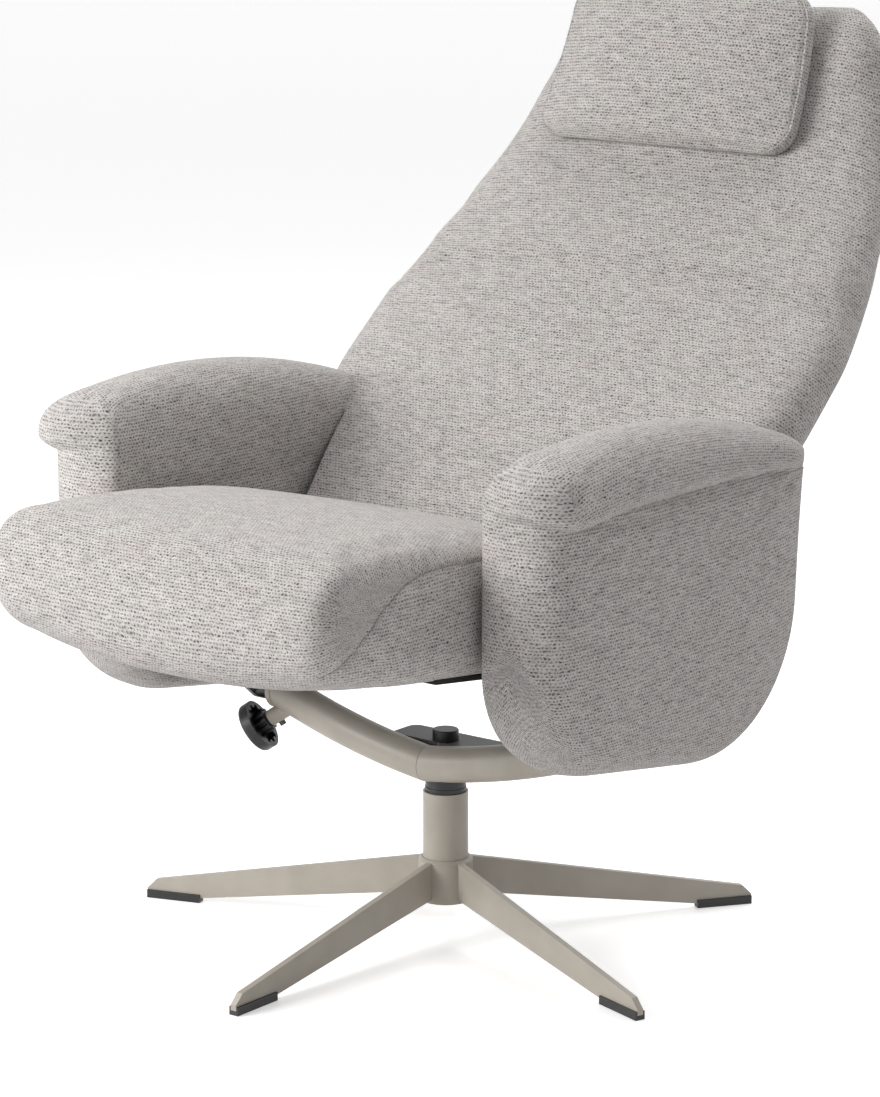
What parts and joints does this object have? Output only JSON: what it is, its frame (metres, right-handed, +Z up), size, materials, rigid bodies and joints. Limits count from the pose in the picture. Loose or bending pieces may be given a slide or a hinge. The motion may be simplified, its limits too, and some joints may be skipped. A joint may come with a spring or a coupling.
{
  "type": "recliner",
  "caption": "Upholstered swivel recliner with padded arms, a leaning back with a sliding head pillow, a bent tube carrier and a flat-legged star base.",
  "frame": {"origin": "on the floor, on the swivel axis", "axes": "+X to the sitter's left, +Y to the rear, +Z up"},
  "size_m": [0.6992, 1.0402, 0.9534],
  "materials": {
    "satin_paint": "satin warm grey powder coat",
    "black_plastic": "matt black moulding",
    "dark_paint": "matt dark grey paint",
    "steel": "plain turned steel",
    "woven_fabric": "chunky flecked weave",
    "lining": "smooth grey lining",
    "webbing": "elastic webbing",
    "board": "plain plywood",
    "dust_panel": "black board"
  },
  "bodies": {
    "base": {"star_base": "satin_paint", "column_tube": "satin_paint", "glide_1": "black_plastic", "glide_2": "black_plastic", "glide_3": "black_plastic", "glide_4": "black_plastic", "glide_5": "black_plastic", "lower_bush": "black_plastic", "upper_bush": "black_plastic", "thrust_washer": "black_plastic"},
    "swivel_frame": {"spindle": "steel", "spindle_clip": "steel", "swivel_collar": "black_plastic", "frame_tube_left": "satin_paint", "frame_tube_right": "satin_paint", "top_plate": "dark_paint", "spindle_cap": "black_plastic", "end_plate_left": "satin_paint", "end_plate_right": "satin_paint", "pivot_bush_left": "black_plastic", "pivot_bush_right": "black_plastic", "knob_stub": "satin_paint", "set_screw": "dark_paint"},
    "tension_knob": {"tension_knob": "black_plastic", "knob_screw": "steel"},
    "seat_unit": {"seat_cushion": "woven_fabric", "seat_frame": "board", "seat_webbing": "webbing", "seat_panel": "dust_panel", "side_plate_left": "dark_paint", "side_plate_right": "dark_paint", "pivot_pin_left": "steel", "pivot_pin_right": "steel", "hinge_pin_left": "steel", "hinge_pin_right": "steel", "seat_bolts_left": "steel", "seat_bolts_right": "steel", "arm_bolts_left": "steel", "arm_bolts_right": "steel", "arm_pad_left": "woven_fabric", "arm_pad_right": "woven_fabric", "arm_core_left": "board", "arm_core_right": "board", "arm_strip_left": "lining", "arm_strip_right": "lining", "arm_roll_left": "woven_fabric", "arm_roll_right": "woven_fabric"},
    "back_unit": {"back_cushion": "woven_fabric", "back_frame": "board", "back_webbing": "webbing", "back_panel": "woven_fabric", "back_lug_left": "dark_paint", "back_lug_right": "dark_paint"},
    "headrest": {"headrest_pillow": "woven_fabric", "headrest_grip": "lining"}
  },
  "joints": [
    {"name": "swivel", "type": "hinge", "parent": "base", "child": "swivel_frame", "pos_m": [0, 0, 0.15], "axis": [0, 0, 1], "continuous": true},
    {"name": "tilt", "type": "hinge", "parent": "swivel_frame", "child": "seat_unit", "pos_m": [0, -0.03155, 0.23925], "axis": [-1, 0, 0], "range_deg": [-10, 0]},
    {"name": "recline", "type": "hinge", "parent": "seat_unit", "child": "back_unit", "pos_m": [0, 0.06613, 0.39987], "axis": [-1, 0, 0], "range_deg": [-18, 0]},
    {"name": "headrest_slide", "type": "hinge", "parent": "back_unit", "child": "headrest", "pos_m": [0, 0.05439, 1.04059], "axis": [1, 0, 0], "range_deg": [-8, 4]},
    {"name": "tension", "type": "hinge", "parent": "swivel_frame", "child": "tension_knob", "pos_m": [-0.192, -0.03155, 0.21925], "axis": [-0.7574, -0.3302, -0.5633], "continuous": true}
  ],
  "couplings": [
    {"joint": "recline", "follows": "tilt", "ratio": 1.8}
  ]
}
